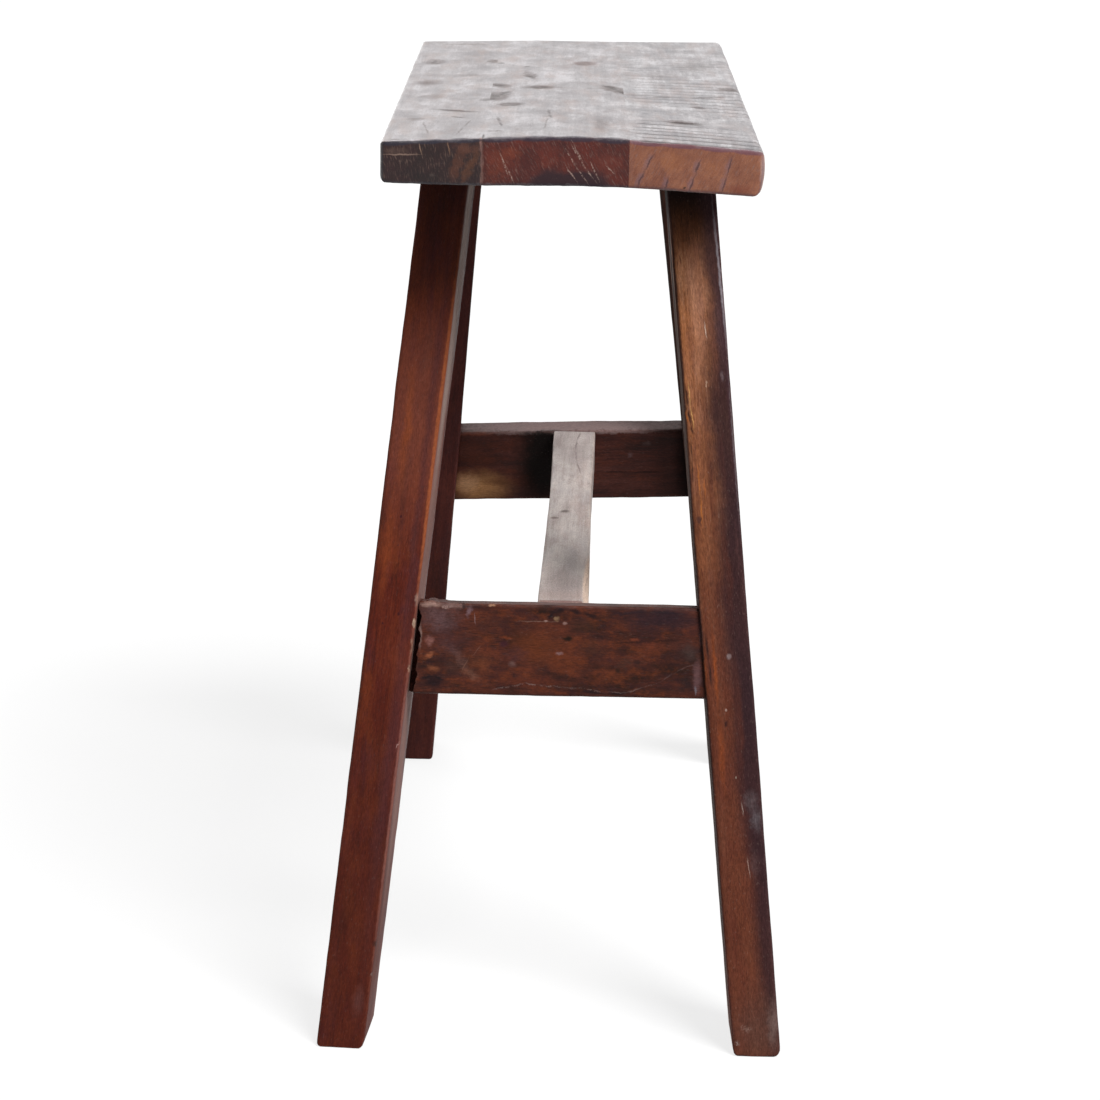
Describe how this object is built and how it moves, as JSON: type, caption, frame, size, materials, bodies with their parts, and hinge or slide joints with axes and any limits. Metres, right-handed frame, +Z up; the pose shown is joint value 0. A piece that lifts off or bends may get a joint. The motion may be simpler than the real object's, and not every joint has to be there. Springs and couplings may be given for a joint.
{
  "type": "wooden bench",
  "caption": "Narrow backless wooden bench: crowned board seat on splayed tenoned legs, joined by end stretchers and a low centre rail.",
  "frame": {"origin": "on the floor, in the middle of the four feet", "axes": "+Z up, +Y along the bench from the near end to the far end, +X across it to the right as seen from the near end"},
  "size_m": [0.3301, 0.6316, 0.619],
  "materials": {
    "dark_seat_board": "stained and worn",
    "red_seat_board": "stained and worn",
    "brown_seat_board": "stained and worn",
    "dowel_wood": "stained and worn",
    "stained_leg": "stained and worn",
    "stained_stretcher": "stained and worn",
    "grey_rail": "stained and worn"
  },
  "bodies": {
    "root": {"seat_board_left": "dark_seat_board", "seat_board_middle": "red_seat_board", "seat_board_right": "brown_seat_board", "seat_dowels_left": "dowel_wood", "seat_dowels_right": "dowel_wood", "leg_near_left": "stained_leg", "leg_near_right": "stained_leg", "leg_far_left": "stained_leg", "leg_far_right": "stained_leg", "stretcher_near": "stained_stretcher", "stretcher_far": "stained_stretcher", "centre_rail": "grey_rail"}
  },
  "joints": []
}
